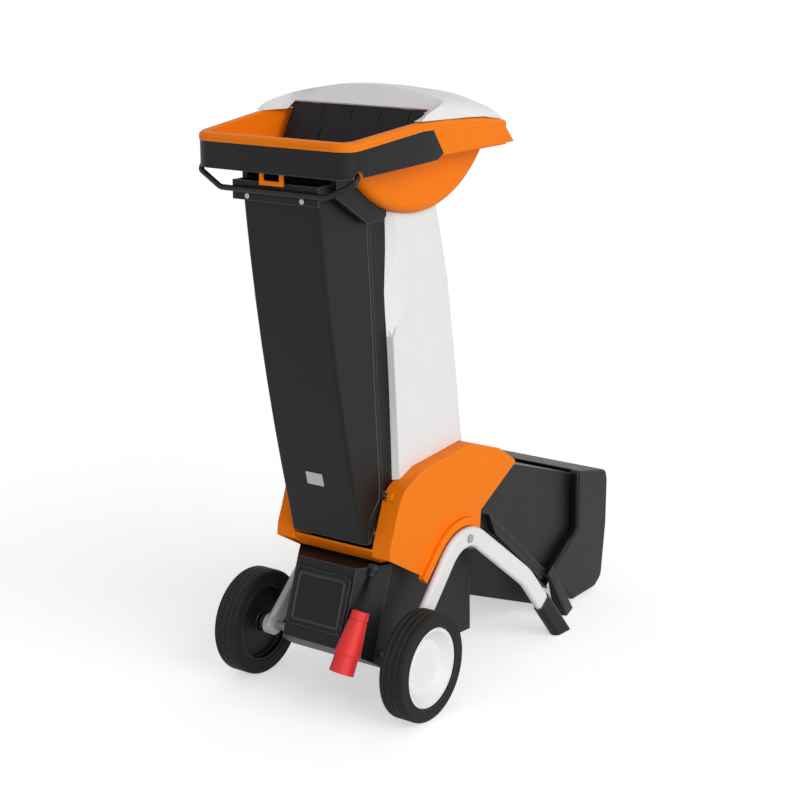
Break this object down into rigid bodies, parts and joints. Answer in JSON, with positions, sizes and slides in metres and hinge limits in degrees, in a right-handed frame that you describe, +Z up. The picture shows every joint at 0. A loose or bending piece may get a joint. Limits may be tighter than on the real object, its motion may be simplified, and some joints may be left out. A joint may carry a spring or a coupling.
{
  "type": "garden shredder",
  "caption": "Electric garden shredder with a tall feed chute, folding hooded hopper, tilted disc cutter, rear discharge, wheels and a tube frame.",
  "frame": {"origin": "on the floor, under the middle of the bounding box without the mains lead", "axes": "+X to the operator's right, +Y from the operator to the discharge, +Z up"},
  "size_m": [0.529, 1.1744, 1.376],
  "materials": {
    "orange_plastic": "satin moulded plastic",
    "black_plastic": "fine-grained moulded plastic",
    "white_plastic": "smooth moulded plastic",
    "white_paint": "powder coat",
    "black_paint": "powder coat",
    "tyre_rubber": "matt",
    "soft_rubber": "matt",
    "steel": "zinc plated",
    "knife_steel": "ground",
    "cast_aluminium": "as cast",
    "winding_copper": "varnished",
    "contact_brass": "plain",
    "red_plastic": "smooth moulded plastic",
    "green_button": "smooth moulded plastic",
    "red_button": "smooth moulded plastic"
  },
  "bodies": {
    "base": {"base_housing": "orange_plastic", "motor_housing": "black_plastic", "front_cover": "black_plastic", "cover_screws": "black_paint", "chamber_floor": "cast_aluminium", "chamber_ring": "black_plastic", "counter_blade": "knife_steel", "discharge_chute": "black_plastic", "discharge_hood": "black_plastic", "frame_tube_left": "white_paint", "frame_tube_right": "white_paint", "foot_left": "black_plastic", "foot_right": "black_plastic", "axle": "steel", "axle_washers": "steel", "frame_bolts": "steel", "chute_pins": "steel", "motor_sleeve": "cast_aluminium", "motor_stator": "steel", "motor_windings": "winding_copper", "end_shield_upper": "cast_aluminium", "end_shield_lower": "cast_aluminium", "bearing_upper": "steel", "bearing_lower": "steel", "switch_box": "black_plastic", "cable_gland": "black_plastic", "mains_cord": "soft_rubber", "mains_plug": "red_plastic", "plug_pins": "contact_brass"},
    "rotor": {"motor_shaft": "steel", "motor_rotor": "steel", "cooling_fan": "black_plastic", "cutting_disc": "steel", "disc_knives": "knife_steel", "wing_knife": "knife_steel", "disc_bolt": "steel"},
    "chute": {"chute_front": "black_plastic", "chute_rear": "white_plastic", "chute_saddle": "black_plastic", "storage_tray": "black_plastic", "carry_handle": "black_paint", "handle_bolts": "steel", "rating_plate": "steel", "hopper_hinge_pin": "steel"},
    "lock_knob": {"lock_knob": "black_plastic"},
    "hopper": {"hopper_bowl": "orange_plastic", "hopper_band": "black_plastic", "hopper_hood": "white_plastic", "curtain_bar": "steel", "latch_pin": "steel"},
    "latch": {"hopper_latch": "orange_plastic"},
    "curtain": {"feed_curtain": "soft_rubber"},
    "wheel_left": {"tyre_left": "tyre_rubber", "rim_left": "black_plastic", "hub_cap_left": "white_plastic"},
    "wheel_right": {"tyre_right": "tyre_rubber", "rim_right": "black_plastic", "hub_cap_right": "white_plastic"},
    "start_button": {"start_button": "green_button"},
    "stop_button": {"stop_button": "red_button"}
  },
  "joints": [
    {"name": "wheel_left_spin", "type": "hinge", "parent": "base", "child": "wheel_left", "pos_m": [0, -0.36975, 0.125], "axis": [1, 0, 0], "continuous": true},
    {"name": "wheel_right_spin", "type": "hinge", "parent": "base", "child": "wheel_right", "pos_m": [0, -0.36975, 0.125], "axis": [1, 0, 0], "continuous": true},
    {"name": "rotor_spin", "type": "hinge", "parent": "base", "child": "rotor", "pos_m": [0, -0.14075, 0.36], "axis": [0, 0.3256, 0.9455], "continuous": true},
    {"name": "chute_tilt", "type": "hinge", "parent": "base", "child": "chute", "pos_m": [0, -0.32975, 0.485], "axis": [1, 0, 0], "range_deg": [0, 48]},
    {"name": "lock_knob_turn", "type": "hinge", "parent": "chute", "child": "lock_knob", "pos_m": [0, 0.01425, 0.531], "axis": [0, 0.2756, 0.9613], "continuous": true},
    {"name": "hopper_fold", "type": "hinge", "parent": "chute", "child": "hopper", "pos_m": [0, -0.10775, 1.112], "axis": [-1, 0, 0], "range_deg": [0, 95]},
    {"name": "latch_swing", "type": "hinge", "parent": "hopper", "child": "latch", "pos_m": [0, -0.57575, 1.232], "axis": [1, 0, 0], "range_deg": [-15, 0], "stiffness_Nm_per_rad": 0.05, "springref_deg": 2.86},
    {"name": "curtain_swing", "type": "hinge", "parent": "hopper", "child": "curtain", "pos_m": [0, -0.26875, 1.332], "axis": [1, 0, 0], "range_deg": [0, 40], "stiffness_Nm_per_rad": 0.3, "springref_deg": -17.19},
    {"name": "start_press", "type": "slide", "parent": "base", "child": "start_button", "axis": [1, 0, 0], "range_m": [0, 0.004], "stiffness_N_per_m": 500, "springref_m": -0.001},
    {"name": "stop_press", "type": "slide", "parent": "base", "child": "stop_button", "axis": [1, 0, 0], "range_m": [0, 0.004], "stiffness_N_per_m": 500, "springref_m": -0.001}
  ]
}
